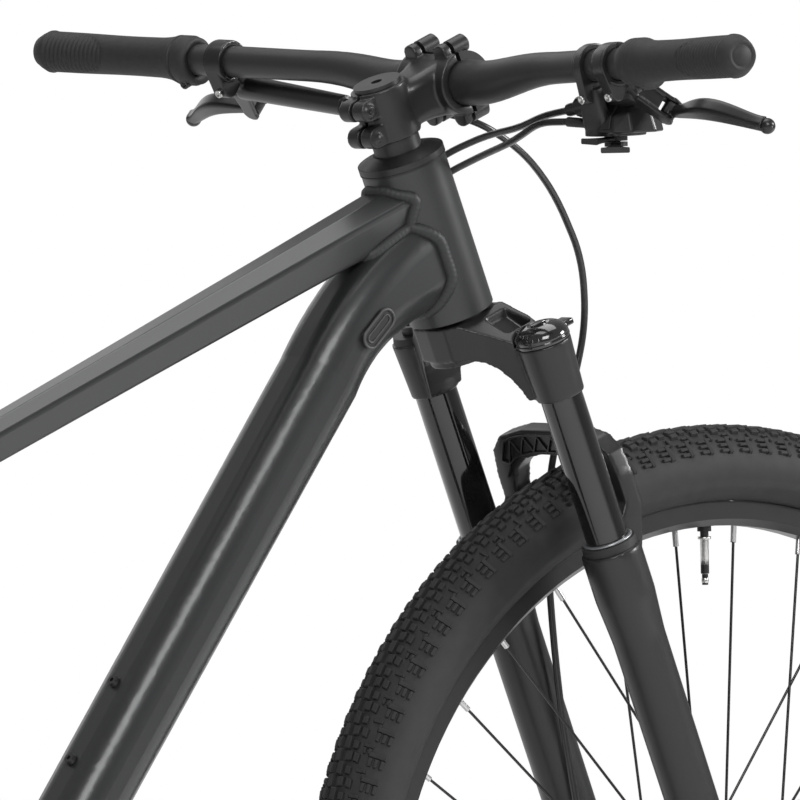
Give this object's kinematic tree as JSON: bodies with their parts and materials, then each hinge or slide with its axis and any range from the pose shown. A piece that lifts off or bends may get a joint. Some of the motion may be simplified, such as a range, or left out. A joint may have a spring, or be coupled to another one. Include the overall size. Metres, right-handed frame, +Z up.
{
  "type": "hardtail mountain bike",
  "caption": "Hardtail mountain bike with suspension fork, disc brakes and single-ring derailleur drivetrain; it steers, rolls, pedals, shifts and brakes.",
  "frame": {"origin": "on the ground, midway between the two wheels' contact points", "axes": "+X points forwards, +Y to the rider's left, +Z up"},
  "size_m": [1.8868, 0.7712, 1.0287],
  "materials": {
    "anthracite_frame": "satin",
    "black_alloy": "satin",
    "fork_black": "satin",
    "gloss_black": "gloss",
    "stanchion_black": "polished",
    "tyre_rubber": "matte",
    "grip_rubber": "matte",
    "spoke_steel": "polished",
    "rotor_steel": "brushed",
    "cassette_steel": "satin",
    "chain_steel": "satin",
    "black_plastic": "satin",
    "hose_black": "satin",
    "saddle_cover": "matte"
  },
  "bodies": {
    "frame": {"head_tube": "anthracite_frame", "seat_tube": "anthracite_frame", "down_tube": "anthracite_frame", "top_tube": "anthracite_frame", "rear_stays_left": "anthracite_frame", "rear_stays_right": "anthracite_frame", "frame_bearings": "black_alloy", "frame_fittings": "black_alloy", "rear_axle": "black_alloy", "rear_caliper": "black_alloy", "rear_brake_hose": "hose_black", "shift_housing": "hose_black", "derailleur_mount": "black_alloy"},
    "seatpost": {"seatpost": "black_alloy", "saddle_rails": "black_alloy", "saddle_cover": "saddle_cover"},
    "steering": {"fork_crown": "fork_black", "stanchions": "stanchion_black", "air_cap": "gloss_black", "headset_stack": "black_alloy", "stem": "black_alloy", "stem_faceplate": "black_alloy", "handlebar": "black_alloy", "grip_left": "grip_rubber", "grip_right": "grip_rubber", "brake_body_left": "black_alloy", "brake_body_right": "black_alloy", "shifter_body": "black_alloy"},
    "lockout_knob": {"lockout_knob": "gloss_black"},
    "brake_blade_left": {"brake_blade_left": "black_alloy"},
    "brake_blade_right": {"brake_blade_right": "black_alloy"},
    "shift_lever_up": {"shift_lever_up": "black_plastic"},
    "shift_lever_down": {"shift_lever_down": "black_plastic"},
    "fork_lowers": {"fork_lowers": "fork_black", "fork_seals": "black_plastic", "front_caliper": "black_alloy", "front_axle": "black_alloy", "front_brake_hose": "hose_black"},
    "front_wheel": {"front_tyre": "tyre_rubber", "front_rim": "black_alloy", "front_spokes": "spoke_steel", "front_hub": "black_alloy", "front_rotor": "rotor_steel"},
    "rear_wheel": {"rear_tyre": "tyre_rubber", "rear_rim": "black_alloy", "rear_spokes": "spoke_steel", "rear_hub": "black_alloy", "rear_rotor": "rotor_steel"},
    "cassette": {"cassette": "cassette_steel"},
    "crank": {"crankset": "black_alloy", "chainring": "black_alloy", "chain": "chain_steel"},
    "pedal_left": {"pedal_left": "black_plastic"},
    "pedal_right": {"pedal_right": "black_plastic"},
    "outer_link": {"derailleur_outer_link": "black_alloy"},
    "p_knuckle": {"derailleur_p_knuckle": "black_plastic"},
    "inner_link": {"derailleur_inner_link": "black_alloy"},
    "cage": {"derailleur_cage": "black_alloy"},
    "jockey_upper": {"jockey_upper": "black_plastic"},
    "jockey_lower": {"jockey_lower": "black_plastic"}
  },
  "joints": [
    {"name": "steer", "type": "hinge", "parent": "frame", "child": "steering", "pos_m": [0.34511, 0, 0.82759], "axis": [-0.3633, 0, 0.9317], "range_deg": [-60, 60], "deforming": ["rear_brake_hose", "shift_housing"]},
    {"name": "fork_travel", "type": "slide", "parent": "steering", "child": "fork_lowers", "axis": [-0.3633, 0, 0.9317], "range_m": [0, 0.1], "stiffness_N_per_m": 6000, "springref_m": -0.01, "deforming": ["front_brake_hose"]},
    {"name": "front_wheel_spin", "type": "hinge", "parent": "fork_lowers", "child": "front_wheel", "pos_m": [0.5725, 0, 0.371], "axis": [0, 1, 0], "continuous": true},
    {"name": "rear_wheel_spin", "type": "hinge", "parent": "frame", "child": "rear_wheel", "pos_m": [-0.5725, 0, 0.371], "axis": [0, 1, 0], "continuous": true},
    {"name": "crank_spin", "type": "hinge", "parent": "frame", "child": "crank", "pos_m": [-0.13863, 0, 0.311], "axis": [0, 1, 0], "continuous": true, "deforming": ["chain"]},
    {"name": "cassette_spin", "type": "hinge", "parent": "frame", "child": "cassette", "pos_m": [-0.5725, 0, 0.371], "axis": [0, 1, 0], "continuous": true},
    {"name": "pedal_left_spin", "type": "hinge", "parent": "crank", "child": "pedal_left", "pos_m": [-0.30863, 0, 0.311], "axis": [0, 1, 0], "continuous": true},
    {"name": "pedal_right_spin", "type": "hinge", "parent": "crank", "child": "pedal_right", "pos_m": [0.03137, 0, 0.311], "axis": [0, 1, 0], "continuous": true},
    {"name": "seatpost_slide", "type": "slide", "parent": "frame", "child": "seatpost", "axis": [-0.284, 0, 0.9588], "range_m": [-0.1, 0.05]},
    {"name": "brake_left", "type": "hinge", "parent": "steering", "child": "brake_blade_left", "pos_m": [0.35445, 0.22589, 0.97204], "axis": [0.6161, 0, 0.7877], "range_deg": [0, 14], "stiffness_Nm_per_rad": 2, "springref_deg": -5.73},
    {"name": "brake_right", "type": "hinge", "parent": "steering", "child": "brake_blade_right", "pos_m": [0.35445, -0.22589, 0.97204], "axis": [-0.6161, 0, -0.7877], "range_deg": [0, 14], "stiffness_Nm_per_rad": 2, "springref_deg": -5.73},
    {"name": "shift_up", "type": "hinge", "parent": "steering", "child": "shift_lever_up", "pos_m": [0.34873, -0.1754, 0.96137], "axis": [0.0153, 0, -0.9999], "range_deg": [0, 18], "stiffness_Nm_per_rad": 1, "springref_deg": -5.73},
    {"name": "shift_down", "type": "hinge", "parent": "steering", "child": "shift_lever_down", "pos_m": [0.34873, -0.1754, 0.96137], "axis": [0.0153, 0, -0.9999], "range_deg": [0, 22], "stiffness_Nm_per_rad": 1, "springref_deg": -5.73},
    {"name": "lockout", "type": "hinge", "parent": "steering", "child": "lockout_knob", "pos_m": [0.37003, -0.0685, 0.81047], "axis": [0.3633, 0, -0.9317], "range_deg": [0, 90]},
    {"name": "derailleur_shift", "type": "hinge", "parent": "frame", "child": "outer_link", "pos_m": [-0.60135, -0.09692, 0.31464], "axis": [0.2923, 0.6835, 0.6689], "range_deg": [-36, 44]},
    {"name": "derailleur_follow", "type": "hinge", "parent": "frame", "child": "inner_link", "pos_m": [-0.59865, -0.08508, 0.30136], "axis": [0.2923, 0.6835, 0.6689], "range_deg": [-36, 44]},
    {"name": "derailleur_level", "type": "hinge", "parent": "outer_link", "child": "p_knuckle", "pos_m": [-0.5579, -0.11145, 0.3105], "axis": [0.2923, 0.6835, 0.6689], "range_deg": [-44, 36]},
    {"name": "cage_swing", "type": "hinge", "parent": "p_knuckle", "child": "cage", "pos_m": [-0.5645, -0.07, 0.27], "axis": [0, 1, 0], "range_deg": [-25, 35], "stiffness_Nm_per_rad": 2},
    {"name": "jockey_upper_spin", "type": "hinge", "parent": "cage", "child": "jockey_upper", "pos_m": [-0.5585, -0.052, 0.258], "axis": [0, 1, 0], "continuous": true},
    {"name": "jockey_lower_spin", "type": "hinge", "parent": "cage", "child": "jockey_lower", "pos_m": [-0.55151, -0.052, 0.16426], "axis": [0, 1, 0], "continuous": true}
  ],
  "couplings": [
    {"joint": "cassette_spin", "follows": "crank_spin", "ratio": 1.5238},
    {"joint": "jockey_lower_spin", "follows": "crank_spin", "ratio": 2.4615},
    {"joint": "jockey_upper_spin", "follows": "crank_spin", "ratio": -2.4615},
    {"joint": "derailleur_follow", "follows": "derailleur_shift", "ratio": 1},
    {"joint": "derailleur_level", "follows": "derailleur_shift", "ratio": -1}
  ]
}
